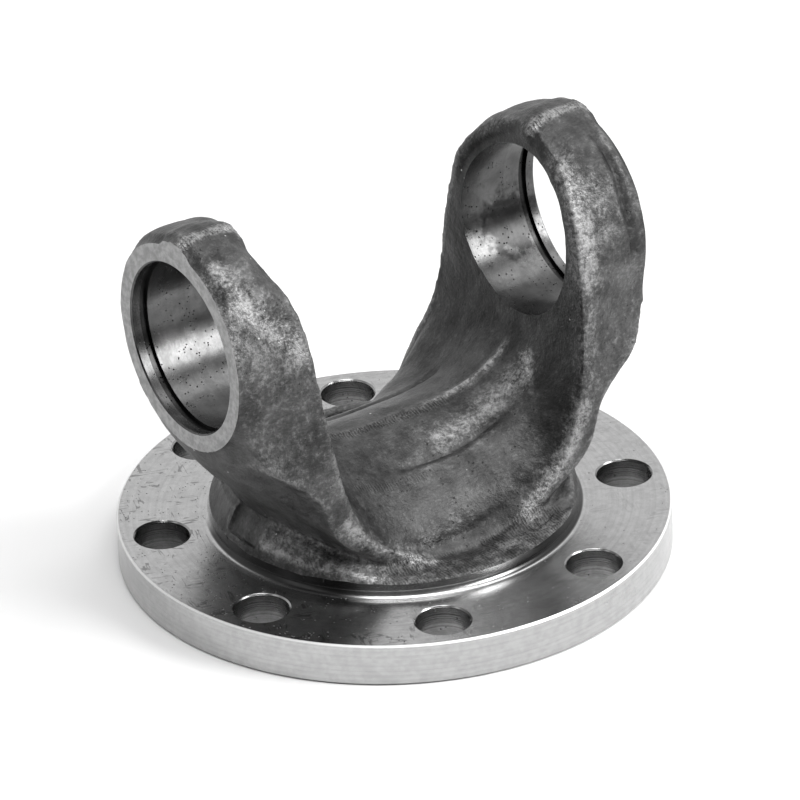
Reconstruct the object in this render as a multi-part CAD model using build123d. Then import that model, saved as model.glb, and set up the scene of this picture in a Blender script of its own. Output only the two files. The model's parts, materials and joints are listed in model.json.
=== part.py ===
from build123d import *
import math
import os

# Forged flange yoke of a cardan shaft, in millimetres. The origin is the centre of the
# mounting face, +Z is the shaft axis, and the cross bores lie along X.

# flange
flange_d = 165.0
flange_t = 13.2
flange_edge = 0.6
bolt_margin = 12.5
bolt_count = 8
bolt_hole_d = 16.3
bolt_hole_edge = 0.35
pilot_d = 95.0
pilot_depth = 2.6
pilot_edge = 0.5

# machined wall round the foot of the forging, with a relief below it
hub_d = 109.4
hub_step = 3.8
relief_r = 2.6

# ears and cross bores
axis_h = 90.0
bore_d = 52.0
bore_edge = 0.45
face_span = 143.0
ear_gap = 92.0
land_w = 3.0
ring_groove_w = 2.7
ring_groove_depth = 1.2
milling_stock = 4.5

# wall round the bore at the crown of the ear, with a crest on the parting plane
crown_wall = 8.8
crest_rise = 1.1
crest_angle = 76.0

# side strips: half width at the foot, and walls at the waist and beside the bore, at gap and face
foot_half_w = 38.4
waist_gap_wall = 10.8
waist_face_wall = 3.0
waist_drop = 19.0
cheek_gap_wall = 7.0
cheek_face_wall = 5.3

# inside of the fork: a rounded saddle, and a pocket on each side of it down to an apron
saddle_h = 43.4
saddle_half_w = 17.0
saddle_drop = 6.2
knee_rise = 0.29
pocket_h = 15.0
pocket_half_w = 38.5
apron_rise = 4.8

# roof of the foot, from the machined wall up to the webs, with a flat pad below each ear
roof_rise = 12.0
roof_half_w = 42.0
roll_w = 7.0
pad_w = 14.5
pad_l = 10.0
pad_depth = 0.9

flange_r = flange_d / 2
hub_r = hub_d / 2
bore_r = bore_d / 2
bolt_circle_d = flange_d - 2 * bolt_margin
face_x = face_span / 2
gap_x = ear_gap / 2
ear_w = face_x - gap_x
blank_x = face_x + milling_stock
wide = max(flange_r, blank_x) + 5
wall_top = flange_t + hub_step
roof_top = wall_top + roof_rise
knee_h = saddle_h + (axis_h - saddle_h) * knee_rise
waist_h = axis_h - waist_drop
top_h = axis_h + bore_r + 2 * crown_wall
rise = axis_h - wall_top
plinth_h = wall_top + roof_rise * 0.75


def section(outline, y):
    # a face in the plane along the bores at this y
    return Plane.XZ.offset(-y) * make_face(outline)


def turned(outline, axis):
    return revolve(Plane.XZ * make_face(outline), axis)


def web_section(reach, y):
    # outside of one arm, from the foot up the underside of the ear to its milled face; the reach
    # runs from the gap, in widths of the ear
    shares = (0.03, 0.23, 0.425, 0.596, 0.81, 1.07)
    heights = [0] + [wall_top + rise * share for share in shares] + [top_h]
    out = [gap_x + ear_w * share for share in reach] + [blank_x, blank_x]
    side = Spline(*zip(out, heights))
    rest = Polyline((blank_x, top_h), (0, top_h), (0, 0), (out[0], 0))
    return section(Curve() + [side, rest], y)


def ear_section(share, low, high, crest):
    # an ear seen along the bores, at this share of the way from the gap to the milled face; its
    # walls round the bore and its crest are shares of the crown's
    waist = min(bore_r + waist_gap_wall + (waist_face_wall - waist_gap_wall) * share, foot_half_w * 0.98)
    cheek = bore_r + cheek_gap_wall + (cheek_face_wall - cheek_gap_wall) * share
    low_r = bore_r + crown_wall * low
    high_r = bore_r + crown_wall * high
    rim = []
    for r, angle in ((low_r, 28), (high_r, 57), (high_r, crest_angle), (high_r + crest_rise * crest, 90)):
        rim.append((r * math.cos(math.radians(angle)), axis_h + r * math.sin(math.radians(angle))))
    side = Spline(
        (foot_half_w, plinth_h),
        (foot_half_w - (foot_half_w - waist) * 0.2, knee_h),
        (waist, waist_h),
        (cheek, axis_h),
        *rim,
        tangents=((0, 1), (-1, 0)))
    base = Line((foot_half_w, plinth_h), (-foot_half_w, plinth_h))
    x = max(gap_x + ear_w * share, 0)
    return Plane.YZ.offset(x) * make_face(Curve() + [side, mirror(side, about=Plane.YZ), base])


def trough_section(y, floor):
    # inside of the fork, from ear to ear over its floor
    half = [
        (gap_x * 0.70, floor + (knee_h - floor) * 0.34),
        (gap_x * 0.93, knee_h),
        (gap_x * 0.995, axis_h - bore_r * 0.3),
        (gap_x + ear_w * 0.21, axis_h + bore_r * 1.19),
        (gap_x + ear_w * 0.34, top_h),
    ]
    points = [(-x, z) for x, z in reversed(half)] + [(0, floor)] + half
    wall = Spline(*points, tangents=((0.2, -1), (0.2, 1)))
    return section(Curve() + [wall, Line(points[-1], points[0])], y)


def make_arm():
    # the web stands out in the middle and falls back to both sides
    beyond = foot_half_w * 1.09
    webs = (
        (1, (-1.02, -0.9, -0.08, 0.02, 0.58, 1.12)),
        (0.57, (-0.33, -0.28, 0.08, 0.52, 0.87, 1.08)),
        (0, (0, 0, 0.25, 0.75, 1.03, 1.16)),
    )
    near = [web_section(reach, -beyond * share) for share, reach in webs]
    far = [web_section(reach, beyond * share) for share, reach in reversed(webs[:-1])]
    web = loft(near + far)

    # crowned ear and side strips, on a straight plinth
    plinth = Box(blank_x + 1, 2 * foot_half_w, plinth_h, align=(Align.MIN, Align.CENTER, Align.MIN))
    crown = (
        (-2, 0.62, 0.48, 0),
        (-0.31, 0.62, 0.50, 0),
        (0.157, 0.57, 0.63, 0.3),
        (0.314, 0.61, 0.87, 0.8),
        (0.47, 0.67, 0.99, 1),
        (0.61, 0.70, 1, 1),
        (0.745, 0.70, 1, 1),
        (0.88, 0.67, 0.95, 1),
        (1.04, 0.57, 0.56, 1),
    )
    ear = loft([ear_section(*row) for row in crown], ruled=True)
    return web & (plinth + ear)


def make_foot():
    # flange, relief and foot in one turning; the foot has a rolled edge under an arched roof
    profile = Polyline(
        (0, 0),
        (flange_r - flange_edge, 0),
        (flange_r, flange_edge),
        (flange_r, flange_t - flange_edge),
        (flange_r - flange_edge, flange_t),
        (hub_r + relief_r, flange_t),
        (hub_r + relief_r * 0.3, flange_t + relief_r * 0.3),
        (hub_r, flange_t + relief_r),
        (hub_r, wall_top),
        (hub_r - roll_w * 0.19, wall_top + roof_rise * 0.38),
        (hub_r - roll_w * 0.5, wall_top + roof_rise * 0.74),
        (hub_r - roll_w, wall_top + roof_rise * 0.95),
        (hub_r - roll_w * 1.8, roof_top),
        (0, roof_top),
        close=True)
    arch = Curve() + [
        ThreePointArc((-roof_half_w, wall_top), (0, roof_top), (roof_half_w, wall_top)),
        Polyline((roof_half_w, wall_top), (wide, wall_top), (wide, -5), (-wide, -5), (-wide, wall_top),
                 (-roof_half_w, wall_top)),
    ]
    foot = turned(profile, Axis.Z) & extrude(Plane.YZ * make_face(arch), amount=wide, both=True)
    tilt = math.degrees(math.atan2(roll_w, roof_rise))
    pad = Pos(-pad_depth, 0, 0) * Box(10, pad_w, pad_l, align=(Align.MIN, Align.CENTER, Align.CENTER))
    pad = Pos(hub_r - roll_w * 0.4, 0, wall_top + roof_rise * 0.62) * Rot(0, -tilt, 0) * pad
    return foot - pad - mirror(pad, about=Plane.YZ)


def make_trough():
    # the saddle is barrel shaped, and each pocket curls down from it to the apron
    crease_h = saddle_h - saddle_drop
    width = pocket_half_w - saddle_half_w
    drop = crease_h - pocket_h
    saddle = loft([
        trough_section(-saddle_half_w, crease_h),
        trough_section(0, saddle_h),
        trough_section(saddle_half_w, crease_h),
    ])
    pocket = loft([
        trough_section(saddle_half_w, crease_h),
        trough_section(saddle_half_w + width * 0.33, crease_h - drop * 0.16),
        trough_section(saddle_half_w + width * 0.66, crease_h - drop * 0.50),
        trough_section(pocket_half_w, pocket_h),
    ])
    apron = loft([
        trough_section(pocket_half_w, pocket_h),
        trough_section(hub_r + 3, pocket_h + apron_rise),
    ])
    return [saddle, pocket, apron, mirror(pocket, about=Plane.XZ), mirror(apron, about=Plane.XZ)]


def make_bores():
    # both cross bores in one turning, with a groove for the retaining ring behind each land
    groove_out = face_x - land_w
    groove_in = groove_out - ring_groove_w
    groove_r = bore_r + ring_groove_depth
    outline = Polyline(
        (0, 0),
        (0, bore_r),
        (groove_in, bore_r),
        (groove_in, groove_r),
        (groove_out, groove_r),
        (groove_out, bore_r),
        (face_x - bore_edge, bore_r),
        (face_x + 1, bore_r + bore_edge + 1),
        (face_x + 1, 0),
        close=True)
    bore = turned(outline, Axis.X)
    return Pos(0, 0, axis_h) * (bore + mirror(bore, about=Plane.YZ))


def make_bolt_holes():
    hole_r = bolt_hole_d / 2
    outline = Polyline(
        (0, -1),
        (hole_r, -1),
        (hole_r, flange_t - bolt_hole_edge),
        (hole_r + bolt_hole_edge + 1, flange_t + 1),
        (0, flange_t + 1),
        close=True)
    hole = turned(outline, Axis.Z)
    spots = PolarLocations(bolt_circle_d / 2, bolt_count, start_angle=180 / bolt_count)
    return [spot * hole for spot in spots]


def make_recess():
    # centring recess in the mounting face
    outline = Polyline(
        (0, -1),
        (pilot_d / 2 + pilot_edge + 1, -1),
        (pilot_d / 2, pilot_edge),
        (pilot_d / 2, pilot_depth),
        (0, pilot_depth),
        close=True)
    return turned(outline, Axis.Z)


# forging
arm = make_arm()
yoke = arm + mirror(arm, about=Plane.YZ) + make_foot()
for cut in make_trough():
    yoke = yoke - cut

# machining: milled ear faces, bores, bolt holes and centring recess
above = Box(face_span, 2 * wide, top_h, align=(Align.CENTER, Align.CENTER, Align.MIN))
below = Cylinder(wide, wall_top, align=(Align.CENTER, Align.CENTER, Align.MIN))
yoke = yoke & (above + below)
for cut in [make_bores(), *make_bolt_holes(), make_recess()]:
    yoke = yoke - cut
print("yoke", yoke.volume, yoke.is_valid, len(yoke.solids()), len(yoke.faces()))

os.makedirs("parts", exist_ok=True)
export_step(yoke, "parts/flange_yoke.step")
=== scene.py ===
import json
import math
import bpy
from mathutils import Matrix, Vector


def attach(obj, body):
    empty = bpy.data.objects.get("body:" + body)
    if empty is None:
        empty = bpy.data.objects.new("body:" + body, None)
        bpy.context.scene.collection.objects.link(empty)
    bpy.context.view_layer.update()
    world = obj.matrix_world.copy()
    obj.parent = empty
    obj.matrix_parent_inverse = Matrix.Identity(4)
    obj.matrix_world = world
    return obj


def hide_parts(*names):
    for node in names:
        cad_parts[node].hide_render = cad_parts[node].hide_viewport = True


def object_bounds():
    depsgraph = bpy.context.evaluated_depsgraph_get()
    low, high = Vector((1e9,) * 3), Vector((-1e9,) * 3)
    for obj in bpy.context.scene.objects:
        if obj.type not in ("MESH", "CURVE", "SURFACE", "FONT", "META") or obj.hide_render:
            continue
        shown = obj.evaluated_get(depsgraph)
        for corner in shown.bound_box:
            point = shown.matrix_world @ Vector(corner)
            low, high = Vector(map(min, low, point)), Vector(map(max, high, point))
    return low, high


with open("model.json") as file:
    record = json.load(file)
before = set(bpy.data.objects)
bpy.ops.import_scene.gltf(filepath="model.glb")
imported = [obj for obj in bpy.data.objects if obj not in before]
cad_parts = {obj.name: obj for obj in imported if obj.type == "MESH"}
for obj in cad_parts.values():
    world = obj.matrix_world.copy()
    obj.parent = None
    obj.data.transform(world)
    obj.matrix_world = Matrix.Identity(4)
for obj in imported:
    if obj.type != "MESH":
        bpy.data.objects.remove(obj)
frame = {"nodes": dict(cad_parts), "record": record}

from types import SimpleNamespace

import bmesh
import bpy
import numpy as np
from mathutils import Matrix, Vector

cadLow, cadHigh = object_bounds()

# All sizes here are millimetres; the mesh is brought to metres when it is finished.
mm = 0.001

# Sizes that the frame and its record give: radii, apart from the top, the height of the bores'
# axis and the distance of the ears' faces, which lie a chamfer beyond the ends of the bores.
mounts = {row["name"]: row for row in frame["record"]["mounts"]}
boreDims = mounts["cross_bore"]["dims"]
boltDims = mounts["bolt_circle"]["dims"]
boreEdge = 0.45
cad = {
    "flange": round(cadHigh[0] / mm, 2), "top": round(cadHigh[2] / mm, 2),
    "axis": round(mounts["cross_bore"]["pos_m"][2] / mm, 2), "bore": boreDims["r_mm"],
    "face": boreDims["length_mm"] / 2 + boreEdge, "recess": mounts["centring_recess"]["dims"]["r_mm"],
    "boltCircle": boltDims["pcd_mm"] / 2, "boltHole": boltDims["hole_r_mm"],
}

materialOrder = ("forged_skin", "turned_steel", "bored_steel", "milled_steel", "drilled_steel")


def nodeTools(tree):
    # short ways to add a node with its values, to link it, and to work out numbers with it
    def add(kind, **values):
        made = tree.nodes.new(kind)
        for key, value in values.items():
            setattr(made, key, value)
        return made

    def feed(made, **sources):
        # a key such as i0 is a socket's number, any other is its name
        for key, source in sources.items():
            numbered = key[0] == "i" and key[1:].isdigit()
            socket = made.inputs[int(key[1:]) if numbered else key]
            if isinstance(source, bpy.types.NodeSocket):
                tree.links.new(source, socket)
            else:
                socket.default_value = source
        return made

    def calc(operation, *sources):
        made = add("ShaderNodeMath", operation=operation)
        return feed(made, **{f"i{place}": source for place, source in enumerate(sources)}).outputs[0]

    def times(first, *others):
        for other in others:
            first = calc("MULTIPLY", first, other)
        return first

    def total(*rows):
        # sum of the sources, each times its share
        value = times(*rows[0])
        for row in rows[1:]:
            value = calc("ADD", value, times(*row))
        return value

    def ramp(source, low, high, start=0.0, end=1.0):
        made = add("ShaderNodeMapRange", interpolation_type="SMOOTHSTEP")
        return feed(made, i0=source, i1=low, i2=high, i3=start, i4=end).outputs[0]

    def blend(factor, first, second):
        made = add("ShaderNodeMix", data_type="FLOAT", clamp_factor=True)
        return feed(made, i0=factor, i2=first, i3=second).outputs[0]

    def noiseOf(vector, scale, detail=2.0, roughness=0.5):
        made = add("ShaderNodeTexNoise")
        return feed(made, Vector=vector, Scale=scale, Detail=detail, Roughness=roughness).outputs["Fac"]

    def vector(operation, first, second):
        return feed(add("ShaderNodeVectorMath", operation=operation), i0=first, i1=second).outputs

    def axesOf(source):
        return feed(add("ShaderNodeSeparateXYZ"), Vector=source).outputs

    def painted(name):
        return add("ShaderNodeAttribute", attribute_name=name).outputs["Fac"]

    def grey(value):
        return feed(add("ShaderNodeCombineColor"), Red=value, Green=value, Blue=value).outputs[0]

    def use(group, **sources):
        return feed(add("ShaderNodeGroup", node_tree=group), **sources).outputs

    def millimetres():
        # object coordinates in millimetres
        made = add("ShaderNodeVectorMath", operation="SCALE")
        return feed(made, i0=add("ShaderNodeTexCoord").outputs["Object"], Scale=1 / mm).outputs[0]

    return SimpleNamespace(
        add=add, feed=feed, calc=calc, times=times, total=total, ramp=ramp, blend=blend, noiseOf=noiseOf,
        vector=vector, axesOf=axesOf, painted=painted, grey=grey, use=use, millimetres=millimetres)


def effectGroup(name, inputs, outputs):
    # a shader node group; an input without a value is a vector
    tree = bpy.data.node_groups.new(name, "ShaderNodeTree")
    for label, value in inputs.items():
        kind = "NodeSocketVector" if value is None else "NodeSocketFloat"
        socket = tree.interface.new_socket(label, in_out="INPUT", socket_type=kind)
        if value is not None:
            socket.default_value = value
    for label in outputs:
        tree.interface.new_socket(label, in_out="OUTPUT", socket_type="NodeSocketFloat")
    return tree, nodeTools(tree), tree.nodes.new("NodeGroupInput").outputs, tree.nodes.new("NodeGroupOutput")


def dotGroup():
    # small dots in clusters: one in a cell, bent by noise, kept where a broad noise is high
    tree, tools, given, taken = effectGroup(
        "dots", {"Vector": None, "Spacing": 1.0, "Radius": 0.3, "Amount": 0.5}, ("Mask",))
    place, spacing, radius, amount = given[:4]
    cells = tools.feed(tools.add("ShaderNodeTexVoronoi"), Vector=place,
                       Scale=tools.calc("DIVIDE", 1.0, spacing), Randomness=1.0).outputs
    bent = tools.calc("SUBTRACT", tools.noiseOf(place, 2.2, 3), 0.5)
    distance = tools.total((cells["Distance"], spacing), (bent, radius))
    chance = tools.feed(tools.add("ShaderNodeSeparateColor"), Color=cells["Color"]).outputs[0]
    clusters = tools.ramp(tools.noiseOf(place, 0.16, 2), 0.42, 0.62)
    present = tools.calc("LESS_THAN", chance, tools.times(amount, clusters))
    dot = tools.ramp(distance, radius, tools.times(radius, 0.5))
    tools.feed(taken, Mask=tools.times(dot, present))
    return tree


def scratchGroup():
    # thin straight scratches: noise drawn out along a turned axis, cut to thin lines and to lengths
    tree, tools, given, taken = effectGroup(
        "scratches", {"Vector": None, "Angle": 0.5, "Amount": 0.5}, ("Mask",))
    place, angle, amount = given[:3]
    turned = tools.add("ShaderNodeVectorRotate", rotation_type="Z_AXIS")
    turned = tools.feed(turned, Vector=place, Angle=angle).outputs[0]
    drawn = tools.vector("MULTIPLY", turned, (0.09, 0.6, 0.2))[0]
    line = tools.calc("ABSOLUTE", tools.calc("SUBTRACT", tools.noiseOf(drawn, 1.0, 1), 0.5))
    start = tools.calc("SUBTRACT", 0.66, tools.times(amount, 0.12))
    part = tools.ramp(tools.noiseOf(turned, 0.16, 3), start, tools.calc("ADD", start, 0.05))
    tools.feed(taken, Mask=tools.times(tools.ramp(line, 0.050, 0.012), part))
    return tree


def ringGroup():
    # fine tool marks along one coordinate: noise of two widths stretched across it
    tree, tools, given, taken = effectGroup("tool marks", {"Radius": 0.0, "Pitch": 0.2}, ("Height", "Tone"))
    place = tools.add("ShaderNodeCombineXYZ")
    place = tools.feed(place, X=tools.calc("DIVIDE", given["Radius"], given["Pitch"])).outputs[0]
    fine = tools.noiseOf(place, 1.0, 2, 0.6)
    broad = tools.noiseOf(place, 0.13, 2, 0.6)
    tools.feed(taken, Height=tools.total((fine, 0.7), (broad, 0.5)), Tone=broad)
    return tree


def outward(thing):
    shape = bmesh.new()
    shape.from_mesh(thing.data)
    bmesh.ops.recalc_face_normals(shape, faces=shape.faces)
    shape.to_mesh(thing.data)
    shape.free()


def newObject(name, vertices, faces, material=0):
    mesh = bpy.data.meshes.new(name)
    mesh.from_pydata(vertices, [], faces)
    for label in materialOrder:
        mesh.materials.append(bpy.data.materials[label])
    mesh.polygons.foreach_set("material_index", np.full(len(mesh.polygons), material, np.int32))
    mesh.update()
    made = bpy.data.objects.new(name, mesh)
    bpy.context.scene.collection.objects.link(made)
    outward(made)
    return made


def settle(thing):
    # applies the modifiers to the mesh
    graph = bpy.context.evaluated_depsgraph_get()
    graph.update()
    finished = bpy.data.meshes.new_from_object(thing.evaluated_get(graph), depsgraph=graph)
    thing.modifiers.clear()
    old = thing.data
    thing.data = finished
    bpy.data.meshes.remove(old)


def combine(thing, other, operation):
    change = thing.modifiers.new(operation, "BOOLEAN")
    change.solver = "MANIFOLD"
    change.operation = operation
    change.object = other
    settle(thing)
    bpy.data.objects.remove(other)


def vertexArray(mesh):
    points = np.empty(len(mesh.vertices) * 3, np.float32)
    mesh.vertices.foreach_get("co", points)
    return points.reshape(-1, 3).astype(float)


def normalArray(mesh):
    normals = np.empty(len(mesh.vertices) * 3, np.float32)
    mesh.vertex_normals.foreach_get("vector", normals)
    return normals.reshape(-1, 3).astype(float)


def setVertices(mesh, points):
    mesh.vertices.foreach_set("co", points.astype(np.float32).ravel())
    mesh.update()


def neighbourMean(mesh, values):
    # mean of each vertex's neighbours, by sums over the edges
    ends = np.empty(len(mesh.edges) * 2, np.int32)
    mesh.edges.foreach_get("vertices", ends)
    a, b = ends.reshape(-1, 2).T
    count = np.bincount(a, minlength=len(values)) + np.bincount(b, minlength=len(values))
    columns = [np.bincount(a, column[b], len(values)) + np.bincount(b, column[a], len(values))
               for column in values.reshape(len(values), -1).T]
    return (np.stack(columns, -1) / np.maximum(count, 1)[:, None]).reshape(values.shape)


def smoothStep(value, low, high):
    # the share of the way from low to high: three times its square less twice its cube
    share = np.clip((value - low) / (high - low), 0, 1)
    return share * share * (3 - 2 * share)


def between(value, start, full, fall, end):
    # rises from start to full, stays there, and falls from fall to end
    return smoothStep(value, start, full) * (1 - smoothStep(value, fall, end))


def hump(offset, width):
    # bell shape: e to the power of minus the square of offset over width
    return np.exp(-(offset / width) ** 2)


def nearLine(points, line):
    # distance to a polyline, and the share of the way along it
    line = np.array(line, float)
    lengths = np.linalg.norm(np.diff(line, axis=0), axis=1)
    best = np.full(len(points), np.inf)
    along = np.zeros(len(points))
    for start, end, length, before in zip(line[:-1], line[1:], lengths, np.cumsum(lengths) - lengths):
        share = np.clip((points - start) @ (end - start) / length ** 2, 0, 1)
        distance = np.linalg.norm(points - start - share[:, None] * (end - start), axis=1)
        along = np.where(distance < best, (before + share * length) / lengths.sum(), along)
        best = np.minimum(best, distance)
    return best, along


def aroundBore(points):
    # distance from the axis of the bores, and the angle above it in degrees, alike on both sides
    y, z = points.T[1:]
    return np.hypot(y, z - cad["axis"]), np.degrees(np.arctan2(z - cad["axis"], np.abs(y)))


def noise(points, size, seed):
    # Gradient noise: each lattice corner has a direction, its dot product with the way to the
    # point is blended between the eight corners with a fifth-order fade. Runs from -1 to 1. The
    # large primes only scatter the corners' directions.
    scaled = points / size + seed * 17.31
    cell = np.floor(scaled).astype(np.int64)
    part = scaled - cell
    fade = part ** 3 * (part * (part * 6 - 15) + 10)
    value = np.zeros(len(points))
    for corner in np.ndindex(2, 2, 2):
        at = cell + corner
        mixed = (at[:, 0] * 73856093) ^ (at[:, 1] * 19349663) ^ (at[:, 2] * 83492791) ^ (seed * 2654435)
        mixed = (mixed * 1274126177) & 0x7FFFFFFF
        turn = (mixed & 0xFFFF) / 65536 * 2 * math.pi
        tilt = ((mixed >> 15) & 0xFFFF) / 32768 - 1
        flat = np.sqrt(np.maximum(1 - tilt * tilt, 0))
        way = part - corner
        dot = way[:, 0] * flat * np.cos(turn) + way[:, 1] * flat * np.sin(turn) + way[:, 2] * tilt
        value += dot * np.prod(np.where(np.array(corner) == 1, fade, 1 - fade), axis=1)
    return value * 1.6


# the raw forging, before it is machined
forging = {
    "voxel": 0.74, "rounding": 6,        # even mesh, and how often its edges are smoothed
    "faceStock": 2.2, "boreStock": 5.0,  # left on the ears' faces and in the bores
    "footRadius": 54.7, "bottom": 11.0, "footTop": 17.0,
    "earFrom": 40.0,                     # the ears lie beyond this x
    "slack": 0.05,                       # how exactly a point of the frame lies on its surface
}


def rawForging():
    # The frame's own surface with stock left where it is machined, remeshed evenly so that
    # its edges round off as forged ones do.
    made = newObject("flange_yoke_forged", [], [])
    shape = bmesh.new()
    shape.from_mesh(frame["nodes"]["flange_yoke"].data)
    bmesh.ops.remove_doubles(shape, verts=shape.verts, dist=2e-6)
    shape.to_mesh(made.data)
    shape.free()
    made.data.polygons.foreach_set("material_index", np.zeros(len(made.data.polygons), np.int32))
    slack = forging["slack"]

    # the flange is drawn in to the foot, and its lower side lifted
    points = vertexArray(made.data) / mm
    x, y, z = points.T
    radius = np.hypot(x, y)
    onFlange = (radius > forging["footRadius"] + slack) & (z < forging["footTop"])
    shrink = np.where(onFlange, forging["footRadius"] / np.maximum(radius, 1), 1)
    x, y, z = x * shrink, y * shrink, np.maximum(z, forging["bottom"])

    # the bores are drawn in and the ears' faces moved out
    up = z - cad["axis"]
    rim = np.hypot(y, up)
    inBore = (rim < cad["bore"] + ears["grooveDepth"] + 2 * slack) & (np.abs(x) > forging["earFrom"])
    pull = np.where(inBore, (cad["bore"] - forging["boreStock"]) / np.maximum(rim, 1), 1)
    onFace = np.abs(x) > cad["face"] - boreEdge - slack
    x = np.where(onFace, np.sign(x) * (cad["face"] + forging["faceStock"]), x)
    setVertices(made.data, np.stack([x, y * pull, cad["axis"] + up * pull], -1))

    even = made.modifiers.new("even", "REMESH")
    even.mode = "VOXEL"
    even.voxel_size = forging["voxel"]
    rounding = made.modifiers.new("rounding", "SMOOTH")
    rounding.factor = 0.5
    rounding.iterations = forging["rounding"]
    settle(made)
    return made


# crowns of the ears: how far their gap ends sit lower in front and higher behind, and the flash
crowns = {"loweredLeft": 1.5, "loweredRight": 0.9, "raised": 1.2, "flash": 0.6, "flashUneven": 0.35}


def crownForms(points, aside):
    x, y = points.T[:2]
    rim, turn = aroundBore(points)
    crown = smoothStep(rim, 27.5, 29.5) * smoothStep(turn, 5, 25) * (np.abs(x) > forging["earFrom"])
    gapEnd = 1 - smoothStep(np.abs(x), 52, 58)
    lowered = np.where(x < 0, crowns["loweredLeft"], crowns["loweredRight"]) * smoothStep(-y, 4, 10)
    lowered *= smoothStep(turn, 38, 58) * (1 - smoothStep(turn, 70, 84) * 0.6)
    raised = crowns["raised"] * smoothStep(y, 4, 12)
    flash = between(aside, -2.8, -0.4, 1.5, 7) * smoothStep(turn, 60, 75)
    flash *= crowns["flash"] + crowns["flashUneven"] * noise(points, 2.6, 13)
    return crown * (gapEnd * (raised - lowered) + flash)


# where the dies parted: a bead over the saddle, thicker to the right, and a step behind it
seam = {"y": -1.5, "wander": 0.5, "height": 0.75, "width": 0.95, "widthRight": 0.5, "step": 0.3}


def seamForms(points, normals, aside):
    x, z = points.T[[0, 2]]
    rim = aroundBore(points)[0]
    saddle = (np.abs(x) < 47) * (z > 30) * (rim > 24) * smoothStep(57 - z, 0, 5)
    saddle = saddle * smoothStep(normals[:, 2], -0.1, 0.3)
    strength = 0.35 + 0.65 * smoothStep(x, 2, 26)
    bead = seam["height"] * strength * hump(aside, seam["width"] + seam["widthRight"] * smoothStep(x, 20, 38))
    step = seam["step"] * between(aside, -0.6, 0.6, 5, 12)
    return saddle * (bead + step) * (1 + 0.25 * noise(points, 2.2, 12))


# Creases, below 0, and ridges along lines on the surface: points, height and width. Some fade at
# their ends, with the shares of the way at which they are full and at which they start to fade.
# Some are uneven, lose a share of their height on the way, or lie on both sides of the saddle.
dieLines = {
    "crease": {"height": -1.2, "width": 1.3, "fades": (0.3, 0.85), "bothSides": True, "points": (
        (-16, -19.2, 37), (-3, -18.8, 36.7), (9, -18.8, 36.8), (16.7, -18, 37.9), (25.9, -16.9, 40.6),
        (31.1, -18.3, 42.9))},
    "groove": {"height": -0.6, "width": 1.8, "fades": (0.1, 0.85), "bothSides": True, "points": (
        (-36.9, -38.4, 33.9), (-21.7, -36.9, 22.8), (-9.8, -36.4, 19.3), (4.4, -35.9, 19.4),
        (15.9, -35.5, 22.3), (27.9, -35, 29.1), (37.6, -36.2, 40.1), (41.7, -35.4, 52.5))},
    "tongue": {"height": 0.55, "width": 1.3, "points": (
        (40.8, -9, 55.5), (40.6, -12, 53), (38.4, -16.5, 49.4), (36.4, -19.6, 46.8))},
    "lip": {"height": 0.45, "uneven": 0.4, "width": 1.4, "points": (
        (-38.4, -38.4, 32.4), (-32, -38.4, 27.1), (-22.5, -38.1, 21.6), (-14, -40.7, 17.8))},
    "leftValley": {"height": -0.8, "width": 1.1, "fall": 0.5, "points": (
        (-64.5, -10, 122.6), (-63.4, -16, 120.3), (-62.6, -23.2, 115.3), (-60.2, -27.6, 107))},
    "rightValley": {"height": -1.3, "width": 1.3, "points": (
        (65.2, -14, 120.5), (65.6, -21.8, 116.8), (65.9, -28.2, 105.6), (67.3, -31.3, 90))},
    "shelf": {"height": 0.35, "width": 2.0, "points": (
        (-52.6, -7.3, 22.1), (-49.9, -17.7, 22.3), (-45.2, -28.5, 21.2), (-39.7, -36.3, 20.1),
        (-31.9, -40.8, 17.9))},
}

# places where the forging stands out from the even form: centre, reach and height
swells = (
    ((-45.5, 21.6, 75.6), 13, 1.7), ((44, 30, 98), 15, 1.7), ((-44, 30, 98), 15, 1.2),
    ((42, 30, 76), 12, 1.2), ((65.5, -33, 54), 6, 1.3), ((-45, -31, 102), 9, 0.6))


def lineForms(points):
    rise = np.zeros(len(points))
    mirrored = points * (1, -1, 1)
    for line in dieLines.values():
        for side in (points, mirrored) if line.get("bothSides") else (points,):
            near, along = nearLine(side, line["points"])
            height = line["height"] * (1 - line.get("fall", 0) * along)
            if "fades" in line:
                full, fading = line["fades"]
                height *= between(along, 0, full, fading, 1)
            if "uneven" in line:
                height += line["uneven"] * noise(points, 2.4, 14)
            rise += height * hump(near, line["width"])
    for centre, reach, height in swells:
        rise += height * hump(np.linalg.norm(points - centre, axis=1), reach)
    return rise


# the rest of the forging's own forms: filling of the far pocket, three sizes of uneven skin as
# (height, size), the skirt that the wall of the foot is turned from, and the pads below the ears
castForms = {
    "pocketFill": 4.2, "uneven": ((0.26, 14), (0.13, 5.5), (0.075, 2.2)), "skirt": 1.1, "skirtTop": 17.2,
    "padHeight": 24.2, "padHalf": (7.7, 4.8), "padEdge": 0.9, "padDepth": 0.9,
}


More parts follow.
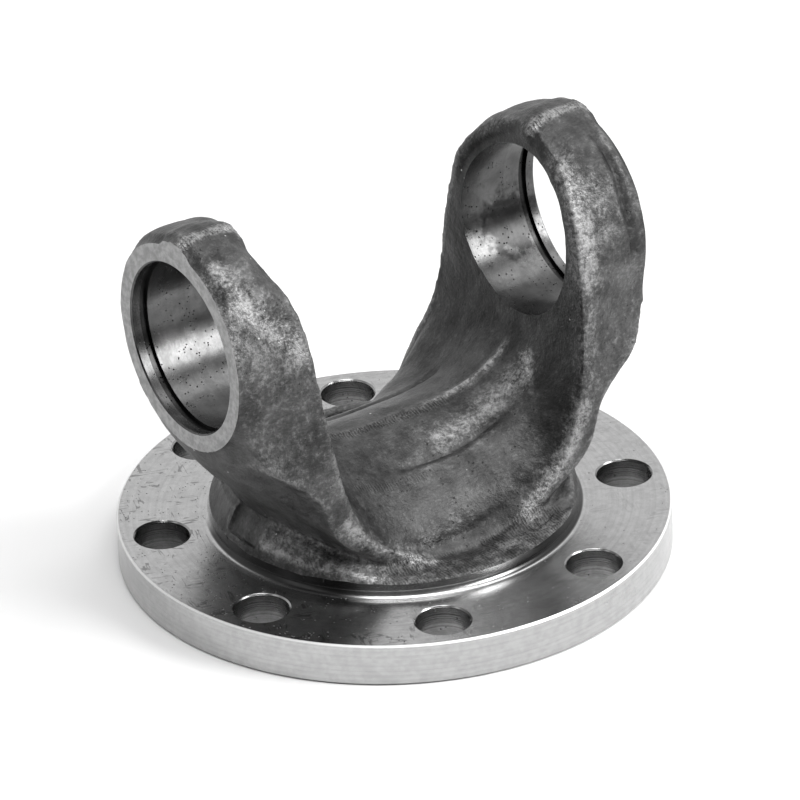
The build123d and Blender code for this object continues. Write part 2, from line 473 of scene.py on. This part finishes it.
def bodyForms(points, normals):
    x, y, z = points.T
    inner = np.abs(x) < 47
    facing = smoothStep(normals[:, 2] - normals[:, 0] * np.sign(x), 0.2, 0.8)
    pocket = facing * smoothStep(y, 20, 33) * hump(z - 35, 14) * smoothStep(np.abs(x), 8, 22) * inner
    rise = castForms["pocketFill"] * pocket
    for place, (height, size) in enumerate(castForms["uneven"]):
        rise += height * noise(points, size, place + 1)
    edge = castForms["skirtTop"] + 0.5 * noise(points * (1, 1, 0), 6, 4)
    rise += castForms["skirt"] * (1 - smoothStep(z, edge - 0.5, edge + 0.9)) * (np.hypot(x, y) > 50)
    halfWidth, halfHeight = castForms["padHalf"]
    pad = smoothStep(halfWidth - np.abs(y), 0, castForms["padEdge"])
    pad *= smoothStep(halfHeight - np.abs(z - castForms["padHeight"]), 0, castForms["padEdge"])
    return rise - castForms["padDepth"] * pad * (np.abs(x) > 44) * (np.abs(x) < 57)


# radius of the ring that each milled face ends in, how much more it has at the sides and at the
# top, how fast the ear may grow behind the face (along x, with its square, and below the bore),
# and how far the forging stays below the top of the solid
faceRings = {
    "radius": 31.3, "side": 0.4, "top": 2.4, "slope": 0.45, "curve": 0.16, "below": 2.0, "clearance": 0.1}


def trimToRings(points):
    # rounded off toward the milled faces; one corner of the right ear keeps its edge
    x, y, z = points.T
    up = z - cad["axis"]
    rim, turn = aroundBore(points)
    back = np.maximum(cad["face"] - np.abs(x), 0)
    allowed = faceRings["radius"] + faceRings["side"] * smoothStep(turn, -10, 5)
    allowed += faceRings["top"] * smoothStep(turn, 74, 84)
    allowed += faceRings["slope"] * back + faceRings["curve"] * back ** 2
    allowed += faceRings["below"] * back * smoothStep(-up, 24, 34)
    kept = (x > 0) & (y < 0) & (up < 0)
    pull = np.where((np.abs(x) > 55) & (rim > allowed) & ~kept, allowed / np.maximum(rim, 1), 1)
    height = np.minimum(cad["axis"] + up * pull, cad["top"] - faceRings["clearance"])
    return np.stack([x, y * pull, height], -1)


def forgedForms(thing):
    # moves each point of the even mesh along its normal by the sum of all forms
    points = vertexArray(thing.data)
    normals = normalArray(thing.data)
    wander = seam["wander"] * np.sin(points[:, 0] / 9) + 0.25 * noise(points * (1, 0, 0), 5, 11)
    aside = points[:, 1] - seam["y"] - wander
    rise = crownForms(points, aside) + seamForms(points, normals, aside)
    rise += lineForms(points) + bodyForms(points, normals)
    setVertices(thing.data, trimToRings(points + normals * rise[:, None]))


def carriedRound(profile, segments, closed):
    # A profile of (radius, height) points carried round Z: x = radius times the cosine of the
    # angle, y = radius times its sine, z = height. Gives the points and the faces between rings.
    angles = np.arange(segments) * 2 * math.pi / segments
    radius, height = np.array(profile, float).T
    points = np.stack([
        np.outer(radius, np.cos(angles)), np.outer(radius, np.sin(angles)),
        np.repeat(height[:, None], segments, 1)], -1)
    count = len(radius)
    ring, step = np.meshgrid(np.arange(count if closed else count - 1), np.arange(segments), indexing="ij")
    after = (step + 1) % segments
    under = (ring + 1) % count
    faces = np.stack([ring * segments + step, ring * segments + after,
                      under * segments + after, under * segments + step], -1)
    return points.reshape(-1, 3), faces.reshape(-1, 4)


def turnedSolid(name, profile, segments, material):
    # a profile that starts and ends on the axis, closed there by fans of triangles
    points, faces = carriedRound(profile[1:-1], segments, False)
    ends = [(0, 0, profile[0][1]), (0, 0, profile[-1][1])]
    around = np.arange(segments)
    onward = (around + 1) % segments
    first = len(points)
    last = first - segments
    startFan = np.stack([np.full(segments, first), onward, around], -1)
    endFan = np.stack([np.full(segments, first + 1), last + around, last + onward], -1)
    faces = faces.tolist() + startFan.tolist() + endFan.tolist()
    return newObject(name, np.concatenate([points, ends]).tolist(), faces, material)


# the turned flange, its centring recess, and the relief round the wall of the foot
flange = {
    "thickness": 13.2, "edge": 0.6, "recessDepth": 2.6, "recessEdge": 0.5, "relief": 2.6,
    "wallTop": 21.0, "toolWidth": 12.0, "segments": 288,
}


def flangeSolid():
    r, t, e = cad["flange"], flange["thickness"], flange["edge"]
    hub, relief = forging["footRadius"], flange["relief"]
    recess, deep, broken = cad["recess"], flange["recessDepth"], flange["recessEdge"]
    angles = np.radians(np.linspace(0, 90, 9))[:-1]
    fillet = [(hub + relief - relief * math.sin(a), t + relief - relief * math.cos(a)) for a in angles]
    inside = t + relief + 0.1
    profile = [
        (0, deep), (recess, deep), (recess, broken), (recess + broken, 0), (r - e, 0), (r, e), (r, t - e),
        (r - e, t), *fillet, (hub - 0.1, inside), (hub - 1.2, inside), (hub - 5, t - 1), (0, t - 1)]
    return turnedSolid("flange", profile, flange["segments"], materialOrder.index("turned_steel"))


def footTool():
    # ring that cuts the wall round the foot
    r, top, width = forging["footRadius"], flange["wallTop"], flange["toolWidth"]
    low = forging["bottom"] - 3
    profile = [(r, low), (r + width, low), (r + width, top), (r, top)]
    points, faces = carriedRound(profile, flange["segments"], True)
    return newObject("turning tool", points.tolist(), faces.tolist(), materialOrder.index("turned_steel"))


# lands and ring grooves of the bores, the x at which the boring bar ends inside the fork, and the
# block that mills the ears' faces
ears = {
    "land": 3.0, "groove": 2.7, "grooveDepth": 1.2, "inner": 30.0, "segments": 192,
    "millDepth": 12.0, "millHalf": 60.0, "millLow": 25.0, "millHigh": 140.0,
}


def boreTool(side):
    face, bore = cad["face"], cad["bore"]
    grooveOut = face - ears["land"]
    grooveIn = grooveOut - ears["groove"]
    deep = bore + ears["grooveDepth"]
    beyond = 4
    profile = [
        (0, ears["inner"]), (bore, ears["inner"]), (bore, grooveIn), (deep, grooveIn), (deep, grooveOut),
        (bore, grooveOut), (bore, face - boreEdge), (bore + boreEdge + beyond, face + beyond),
        (0, face + beyond)]
    tool = turnedSolid("boring bar", profile, ears["segments"], materialOrder.index("bored_steel"))
    x, y, z = vertexArray(tool.data).T
    setVertices(tool.data, np.stack([z * side, y, cad["axis"] + x], -1))
    outward(tool)
    return tool


def millTool(side):
    across = sorted((side * cad["face"], side * (cad["face"] + ears["millDepth"])))
    reach = (-ears["millHalf"], ears["millHalf"])
    grid = np.meshgrid(across, reach, (ears["millLow"], ears["millHigh"]), indexing="ij")
    faces = [(0, 1, 3, 2), (4, 6, 7, 5), (0, 4, 5, 1), (2, 3, 7, 6), (0, 2, 6, 4), (1, 5, 7, 3)]
    corners = np.stack(grid, -1).reshape(-1, 3)
    return newObject("face mill", corners.tolist(), faces, materialOrder.index("milled_steel"))


boltHoles = {"edge": 0.45, "beyond": 2.0, "segments": 96}


def drillTool(turn):
    r, e, t, beyond = cad["boltHole"], boltHoles["edge"], flange["thickness"], boltHoles["beyond"]
    profile = [(0, -beyond), (r, -beyond), (r, t - e), (r + e + beyond, t + beyond), (0, t + beyond)]
    tool = turnedSolid("drill", profile, boltHoles["segments"], materialOrder.index("drilled_steel"))
    place = cad["boltCircle"] * np.array((math.cos(turn), math.sin(turn), 0))
    setVertices(tool.data, vertexArray(tool.data) + place)
    return tool


# lines along which the skin is rubbed bright or has painted light, and along which shade is painted on it:
# points, reach, strength
skinAreas = {
    "rubbed": (
        (((-67, -16, 120), (-64, -26, 110), (-59, -29, 104), (-53, -31, 100), (-50, -32, 94)), 5.5, 0.85),
        (((-70, -24, 112), (-70, -30, 99)), 4, 0.6),
        (((-58, -26, 112), (-54, -30, 104)), 5, 0.5),
        (((38, -15, 50), (40.5, -12, 54)), 3.5, 1.0),
        (((39, -13, 51), (30, -12, 46), (20, -14, 42), (8, -14.5, 40)), 4.5, 0.75),
        (((50.5, -18, 117), (51.5, -25, 110), (51, -31, 98), (49.5, -34, 86)), 5.5, 0.85),
        (((49.5, -34, 86), (47.5, -36, 70), (45, -37.5, 55)), 4.5, 0.5),
        (((56, -25, 112), (58, -31, 98)), 5, 0.55),
        (((43, -38, 48), (37, -38.3, 36), (30, -38.5, 27), (22, -39, 20)), 3.6, 1.0),
        (((-41, -38.4, 38), (-36, -38.4, 31), (-30, -38.4, 25.5), (-22, -38.3, 21), (-14, -40.7, 17.8)),
         3.2, 0.85),
        (((-52, -9, 21.6), (-49.7, -17.7, 21.6), (-44.5, -29, 20.4), (-38, -37.5, 18.8), (-31, -42, 17.6)),
         2.2, 0.95),
        # painted light on the shelf below the left ear, which the arm above shades
        (((-48, -14, 26), (-42, -30, 24), (-33, -38, 22)), 5, 0.65),
        (((-28, -45.5, 17), (0, -46.5, 17.5), (26, -45.5, 17)), 4.5, 0.5),
        (((-8, -18, 38), (8, -17.4, 38.6), (22, -17, 40.6)), 1.6, 0.5),
        (((-12, -34, 20), (-2, -32, 21), (4, -31, 22)), 3.5, 0.5)),
    "shade": (
        (((46, -4, 62), (46, 4, 62)), 18, 0.7), (((44, -31, 60), (44.5, -30, 70)), 6, 0.7),
        (((44, 16, 60), (40, 26, 50)), 14, 0.6), (dieLines["crease"]["points"], 1.7, 0.75),
        (dieLines["groove"]["points"], 3.6, 0.65), (dieLines["rightValley"]["points"], 1.5, 0.8),
        (dieLines["leftValley"]["points"], 1.2, 0.5), (((-25, -33, 26), (-27, -30, 30)), 6, 0.5),
        (((-30, -12, 42), (-20, -17, 38)), 10, 0.4), (((-66, -32, 86), (-65, -31, 76)), 4, 0.6)),
}


def withAreas(mask, name, points):
    for line, reach, strength in skinAreas[name]:
        mask = np.maximum(mask, strength * hump(nearLine(points, line)[0], reach))
    return mask


def bulging(mesh, points, normals):
    # how far a point stands out from the mean of its wider neighbourhood, evened out
    smooth = points
    for again in range(4):
        smooth = neighbourMean(mesh, smooth)
    convex = np.sum((points - smooth) * normals, axis=1)
    for again in range(3):
        convex = neighbourMean(mesh, convex)
    return convex


def rubbedLitAndShade(points, normals, convex):
    # edges and side strips are rubbed bright, with painted light in places; hollows, creases and the ears'
    # inner faces get painted shade
    x, z = points.T[[0, 2]]
    rim = aroundBore(points)[0]
    offBore = np.where(np.abs(x) > forging["earFrom"], smoothStep(rim, 27, 32), 1)
    strip = smoothStep(np.abs(normals[:, 1]), 0.75, 0.95) * smoothStep(z, 20, 60) * np.where(x < 0, 1, 0.55)
    rubbed = np.maximum(0.4 * smoothStep(convex, 0.02, 0.14) * offBore,
                        (0.24 + 0.18 * smoothStep(z, 82, 100)) * strip)
    inner = smoothStep(-normals[:, 0] * np.sign(x), 0.5, 0.9) * (np.abs(x) < 52) * (z > 40)
    shade = np.maximum(smoothStep(-convex, 0.02, 0.12) * (0.1 + 0.4 * smoothStep(z, 24, 32)), 0.9 * inner)
    return withAreas(rubbed, "rubbed", points), withAreas(shade, "shade", points)


def seamMarks(points):
    # the bead over the saddle and the flash over the crowns, and the strokes that trimming left:
    # below the bead, along the pocket, on the apron and on the flash
    x, y, z = points.T
    rim = aroundBore(points)[0]
    aside = y - seam["y"]
    inFork = (np.abs(x) < 46) & (z > 30) & (z < 62)
    bead = hump(aside, 1.3) * inFork * (0.25 + 0.75 * smoothStep(x, 5, 30)) * smoothStep(57 - z, 0, 4)
    flash = between(aside, -4.5, -1.5, 0.5, 2.0) * ((rim > 31) & (np.abs(x) > 50) & (z > 115))
    below = between(-aside, -0.5, 0.3, 2.2, 3.6) * inFork * (1 - smoothStep(x, 12, 24))
    pocket = hump(y + 23, 1.3) * between(x, -36, -28, -4, 2) * (z > 31) * (z < 45)
    apron = smoothStep(-y, 37.5, 39) * (z < 20.5) * (z > 15.5) * (np.hypot(x, y) < 56) * (np.abs(x) < 33)
    bright = np.maximum(0.9 * bead, 0.85 * flash)
    return bright, np.maximum.reduce([below, 0.45 * pocket, 0.9 * apron, flash])


def paintedCornerShade(points):
    # painted shade in the corner between foot and flange, left out in front and behind
    x, y, z = points.T
    turn = np.degrees(np.arctan2(y, x))
    corner = (np.hypot(x, y) < forging["footRadius"] + 2.5) & (z > 13.4) & (z < 22)
    return corner * (1 - between(turn, -142, -128, -96, -80)) * (1 - between(turn, -18, 0, 150, 165))


def paintSkin(thing):
    # masks per vertex: rubbed bright metal with some painted light, shear marks of trimming, painted shade,
    # and painted shade in the corner of the foot
    mesh = thing.data
    points = vertexArray(mesh)
    normals = normalArray(mesh)
    rubbed, shade = rubbedLitAndShade(points, normals, bulging(mesh, points, normals))
    bright, shear = seamMarks(points)
    masks = {
        "rubbed": np.maximum(rubbed, bright), "shear": shear, "shade": shade, "grime": paintedCornerShade(points)}
    for name, values in masks.items():
        made = mesh.attributes.new(name, "FLOAT", "POINT")
        made.data.foreach_set("value", np.clip(values, 0, 1).astype(np.float32))


# tones and finish of the forged skin, and the spacing of the trimming strokes
skin = {
    "dark": 0.017, "light": 0.084, "metal": 0.42, "dust": 0.6, "roughness": 0.46, "metalRoughness": 0.40,
    "bump": 0.85, "strokePitch": 0.95,
}


def forgedSkinMaterial(dots):
    tree = bpy.data.materials["forged_skin"].node_tree
    tools = nodeTools(tree)
    calc, times, total, ramp, blend, noiseOf = (
        tools.calc, tools.times, tools.total, tools.ramp, tools.blend, tools.noiseOf)
    shader = tree.nodes["Principled BSDF"]
    place = tools.millimetres()
    rubbed, shear, shade = tools.painted("rubbed"), tools.painted("shear"), tools.painted("shade")
    cloud = noiseOf(place, 0.12, 3, 0.6)
    patch = noiseOf(place, 0.5, 3, 0.6)
    grain = noiseOf(place, 1.15, 3, 0.65)
    fine = noiseOf(place, 3.6, 2, 0.6)
    streak = noiseOf(tools.vector("MULTIPLY", place, (0.3, 1.0, 1.0))[0], 2.2, 3, 0.65)

    # strokes across the trimmed bands: a wave along X, bent and broken by noise
    bent = total((tools.axesOf(place)["X"], 1.0), (patch, 1.6))
    wave = calc("SINE", times(bent, 2 * math.pi / skin["strokePitch"]))
    strokes = times(wave, shear, ramp(noiseOf(place, 0.9, 2), 0.36, 0.5))

    # thin bare flecks everywhere, thick where the skin is rubbed and where light is painted on it
    mixed = total((patch, 0.45), (grain, 0.38), (fine, 0.17), (calc("SUBTRACT", cloud, 0.5), 0.22))
    fleck = ramp(total((mixed, 1.0), (rubbed, 0.20)), 0.53, 0.79)
    bare = times(fleck, calc("ADD", 0.22, times(rubbed, 0.70)))

    # scale: lighter and darker clouds, brighter where rubbed and where light is painted, darker where shade
    # is painted, with pits, and some pale dust on top
    pits = tools.use(dots, Vector=place, Spacing=1.5, Radius=0.36, Amount=0.5)["Mask"]
    dust = tools.use(dots, Vector=place, Spacing=4.5, Radius=0.38, Amount=0.22)["Mask"]
    tone = total((cloud, 0.45), (patch, 0.2), (grain, 0.15), (streak, 0.2))
    tone = times(ramp(tone, 0.36, 0.66, skin["dark"], skin["light"]), blend(rubbed, 1.0, 2.4),
                 blend(shade, 1.0, 0.38), calc("ADD", 1.0, times(strokes, 0.55)), blend(pits, 1.0, 0.35))
    tone = blend(dust, blend(bare, tone, skin["metal"]), skin["dust"])
    rough = total((blend(bare, skin["roughness"], skin["metalRoughness"]), 1.0),
                  (calc("SUBTRACT", patch, 0.5), 0.35))
    height = total((patch, 0.55), (grain, 0.24), (fine, 0.07), (streak, 0.10), (strokes, 0.20), (pits, -0.2))
    bump = tools.feed(tools.add("ShaderNodeBump"), Strength=1.0, Distance=skin["bump"] * mm,
                      Height=times(height, calc("ADD", 0.6, times(rubbed, 0.7))))
    tools.feed(shader, **{"Base Color": tools.grey(tone)}, Roughness=rough, Normal=bump.outputs[0],
               Metallic=times(blend(bare, 0.45, 0.9), calc("SUBTRACT", 1.0, dust)))


# Machined steel: tone, roughness, anisotropy, pitch and depth of the tool marks in millimetres,
# how much its stains darken and lighten it, and how much of it is pitted. On the top of the
# flange the pits and scratches of handling run from few on the right to many on the left, and
# its broken edge has its own tone and roughness. The bores have a dark blotch at one place.
machined = {
    "turned_steel": {"tone": 0.44, "roughness": 0.25, "anisotropy": 0.5, "pitch": 0.16, "bump": 0.010,
                     "stains": (0.95, 1.0785), "pittedRight": 0.15, "pittedLeft": 0.65, "scratched": 1.2,
                     "edgeTone": 0.8, "edgeRoughness": 0.55},
    "bored_steel": {"tone": 0.088, "roughness": 0.25, "anisotropy": 0.5, "pitch": 0.14, "bump": 0.010,
                    "stains": (0.88, 1.1464), "pitted": 0.85, "blotch": (60.0, 22.0, 78.0)},
    "milled_steel": {"tone": 0.275, "roughness": 0.38, "anisotropy": 0.2, "pitch": 0.30, "bump": 0.006,
                     "stains": (0.80, 1.224), "pitted": 0.2},
    "drilled_steel": {"tone": 0.30, "roughness": 0.24, "anisotropy": 0.3, "pitch": 0.55, "bump": 0.12,
                      "stains": (0.88, 1.1464), "pitted": 0.2},
}


def machinedMaterial(name, dots, marks, scratches):
    look = machined[name]
    tree = bpy.data.materials[name].node_tree
    tools = nodeTools(tree)
    calc, times, total, ramp, blend, noiseOf = (
        tools.calc, tools.times, tools.total, tools.ramp, tools.blend, tools.noiseOf)
    shader = tree.nodes["Principled BSDF"]
    place = tools.millimetres()
    x, y, z = tools.axesOf(place)

    # the tool marks' own coordinate, and the way they run
    pitted = look.get("pitted")
    if name == "turned_steel":
        # round Z: across the marks lie the radius on flat parts and the height on walls
        radius = calc("SQRT", calc("ADD", times(x, x), times(y, y)))
        across = total((radius, 1.0), (z, 1.37))
        way = tools.add("ShaderNodeTangent", direction_type="RADIAL", axis="Z")
        tools.feed(shader, Tangent=way.outputs[0])
        thick = flange["thickness"]
        onTop = times(ramp(z, thick - 0.6, thick - 0.1), ramp(z, thick + 0.4, thick + 0.1))
        pitted = times(onTop, ramp(x, -10, -50, look["pittedRight"], look["pittedLeft"]))
    elif name == "drilled_steel":
        across = z
    else:
        # round the axis of the bores
        over = calc("SUBTRACT", z, cad["axis"])
        rim = calc("SQRT", calc("ADD", times(y, y), times(over, over)))
        across = total((rim, 1.0), (x, 1.21))
        spoke = tools.feed(tools.add("ShaderNodeCombineXYZ"), X=0.0, Y=y, Z=over).outputs[0]
        tools.feed(shader, Tangent=tools.vector("CROSS_PRODUCT", spoke, (1.0, 0.0, 0.0))[0])
    rings = tools.use(marks, Radius=across, Pitch=look["pitch"])
    cloud = noiseOf(place, 0.07, 3, 0.6)
    stain = noiseOf(place, 0.35, 4, 0.65)
    pits = tools.use(dots, Vector=place, Spacing=1.15, Radius=0.28, Amount=pitted)["Mask"]
    tone = times(look["tone"], ramp(rings["Tone"], 0.3, 0.7, 0.92, 1.06),
                 ramp(stain, 0.36, 0.64, *look["stains"]), blend(pits, 1.0, 0.22))
    rough = total((blend(pits, look["roughness"], 0.7), 1.0), (calc("SUBTRACT", cloud, 0.5), 0.12))
    if name == "bored_steel":
        # a dark blotch with an uneven edge, and the ring groove darker
        away = tools.vector("DISTANCE", place, look["blotch"])["Value"]
        away = total((away, 1.0), (calc("SUBTRACT", stain, 0.5), 16))
        inGroove = ramp(rim, cad["bore"] + 0.5, cad["bore"] + 0.9)
        tone = times(tone, ramp(away, 6, 13, 0.35, 1.0), blend(inGroove, ramp(cloud, 0.35, 0.65, 0.8, 1.15), 0.3))
    if name == "turned_steel":
        # scratches, painted shade in the corner of the foot, and the coarser broken edge of the flange
        lines = [tools.use(scratches, Vector=place, Angle=angle, Amount=amount)["Mask"]
                 for angle, amount in ((0.35, 1.0), (1.9, 0.85))]
        lines = times(calc("MAXIMUM", *lines), pitted, look["scratched"])
        grime = tools.painted("grime")
        tone = times(tone, blend(calc("MAXIMUM", lines, grime), 1.0, 0.35), blend(grime, 1.0, 0.25))
        edge = times(ramp(radius, cad["flange"] - 0.7, cad["flange"] - 0.4),
                     ramp(z, thick - 0.7, thick - 0.4))
        tone = blend(edge, tone, look["edgeTone"])
        rough = blend(edge, rough, look["edgeRoughness"])
    bump = tools.feed(tools.add("ShaderNodeBump"), Strength=1.0, Distance=look["bump"] * mm,
                      Height=total((rings["Height"], 1.0), (pits, -6.0)))
    tools.feed(shader, **{"Base Color": tools.grey(tone)}, Roughness=rough, Normal=bump.outputs[0],
               Metallic=1.0, Anisotropic=look["anisotropy"])


for label in materialOrder:
    bpy.data.materials.new(label).use_nodes = True
effects = dotGroup(), ringGroup(), scratchGroup()
forgedSkinMaterial(effects[0])
for label in machined:
    machinedMaterial(label, *effects)
print("materials", len(materialOrder))

yoke = rawForging()
forgedForms(yoke)
print("forging", len(yoke.data.vertices), "points")
combine(yoke, footTool(), "DIFFERENCE")
for side in (-1, 1):
    combine(yoke, millTool(side), "DIFFERENCE")
    combine(yoke, boreTool(side), "DIFFERENCE")
combine(yoke, flangeSolid(), "UNION")
for hole in range(boltDims["count"]):
    combine(yoke, drillTool((hole + 0.5) * 2 * math.pi / boltDims["count"]), "DIFFERENCE")
paintSkin(yoke)
setVertices(yoke.data, vertexArray(yoke.data) * mm)
yoke.data.shade_smooth()
yoke.data.set_sharp_from_angle(angle=math.radians(38))
yoke.data.calc_loop_triangles()
print("yoke", len(yoke.data.loop_triangles), "triangles")
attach(yoke, "root")
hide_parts("flange_yoke")


room = {
    "floorSize": 3.0, "floorTone": 0.86,
    # light of the room behind the part and in front of it, and the way to the back
    "back": 1.0, "front": 0.13, "toBack": (0.55, 0.84, 0.0),
    # name, place in metres, width, height, power in watts; all look at the point aimed at
    "lamps": (
        ("top", (-0.1, -0.3, 1.15), 0.8, 0.6, 8.0),
        ("key", (0.75, -0.95, 0.85), 0.6, 0.6, 16.0),
        ("high", (0.6, -0.05, 1.1), 0.45, 0.45, 1.8),
        ("left", (-1.0, 0.1, 0.6), 0.4, 0.9, 1.2)),
    "aim": (0, 0, 0.05),
}


def paperFloor():
    size = room["floorSize"]
    corners = [(-size, -size, 0), (size, -size, 0), (size, size, 0), (-size, size, 0)]
    mesh = bpy.data.meshes.new("floor")
    mesh.from_pydata(corners, [], [(0, 1, 2, 3)])
    floor = bpy.data.objects.new("floor", mesh)
    bpy.context.scene.collection.objects.link(floor)
    material = bpy.data.materials.new("floor_paper")
    material.use_nodes = True
    shader = material.node_tree.nodes["Principled BSDF"]
    shader.inputs["Base Color"].default_value = (room["floorTone"],) * 3 + (1,)
    shader.inputs["Roughness"].default_value = 0.9
    shader.inputs["Specular IOR Level"].default_value = 0.1
    mesh.materials.append(material)


def roomLight():
    # The camera sees white all round. Metal sees it too, behind the part, and a dim room in front.
    world = bpy.data.worlds.new("studio")
    bpy.context.scene.world = world
    world.use_nodes = True
    tools = nodeTools(world.node_tree)
    rays = tools.add("ShaderNodeLightPath").outputs
    direction = tools.add("ShaderNodeTexCoord").outputs["Generated"]
    toBack = tools.vector("DOT_PRODUCT", direction, room["toBack"])["Value"]
    light = tools.ramp(toBack, -0.35, 0.45, room["front"], room["back"])
    mirrored = tools.calc("MAXIMUM", rays["Is Glossy Ray"], rays["Is Transmission Ray"])
    mirrored = tools.times(mirrored, tools.ramp(toBack, 0.35, 0.45))
    white = tools.calc("MAXIMUM", rays["Is Camera Ray"], mirrored)
    background = world.node_tree.nodes["Background"]
    tools.feed(background, Color=(1, 1, 1, 1), Strength=tools.blend(white, light, 1.0))


def lamps():
    for name, place, width, height, power in room["lamps"]:
        lamp = bpy.data.lights.new(name, "AREA")
        lamp.shape = "RECTANGLE"
        lamp.size = width
        lamp.size_y = height
        lamp.energy = power
        made = bpy.data.objects.new(name, lamp)
        made.location = place
        made.rotation_euler = (Vector(room["aim"]) - Vector(place)).to_track_quat("-Z", "Y").to_euler()
        bpy.context.scene.collection.objects.link(made)


# the photograph's view: angles in degrees, place, lens and sensor in millimetres
photoView = {
    "azimuth": -33.093, "elevation": 29.161, "roll": -2.293,
    "position": (-1168.28, -1798.12, 1244.82),
    "lens": 374.94, "sensor": 36.0, "clipStart": 100.0, "clipEnd": 20000.0,
}


def photoCamera():
    turn = math.radians(photoView["azimuth"])
    lift = math.radians(photoView["elevation"])
    roll = math.radians(photoView["roll"])
    back = np.array([math.sin(turn) * math.cos(lift), -math.cos(turn) * math.cos(lift), math.sin(lift)])
    level = np.array([math.cos(turn), math.sin(turn), 0])
    over = np.cross(back, level)
    lens = bpy.data.cameras.new("photo camera")
    lens.lens = photoView["lens"]
    lens.sensor_width = photoView["sensor"]
    lens.clip_start = photoView["clipStart"] * mm
    lens.clip_end = photoView["clipEnd"] * mm
    camera = bpy.data.objects.new("photo camera", lens)
    axes = np.eye(4)
    axes[:3, 0] = level * math.cos(roll) + over * math.sin(roll)
    axes[:3, 1] = over * math.cos(roll) - level * math.sin(roll)
    axes[:3, 2] = back
    axes[:3, 3] = np.array(photoView["position"]) * mm
    camera.matrix_world = Matrix(axes.tolist())
    bpy.context.scene.collection.objects.link(camera)
    bpy.context.scene.camera = camera


paperFloor()
roomLight()
lamps()
photoCamera()
print("studio", len(room["lamps"]), "lamps")
bpy.context.scene.view_settings.view_transform = "Standard"
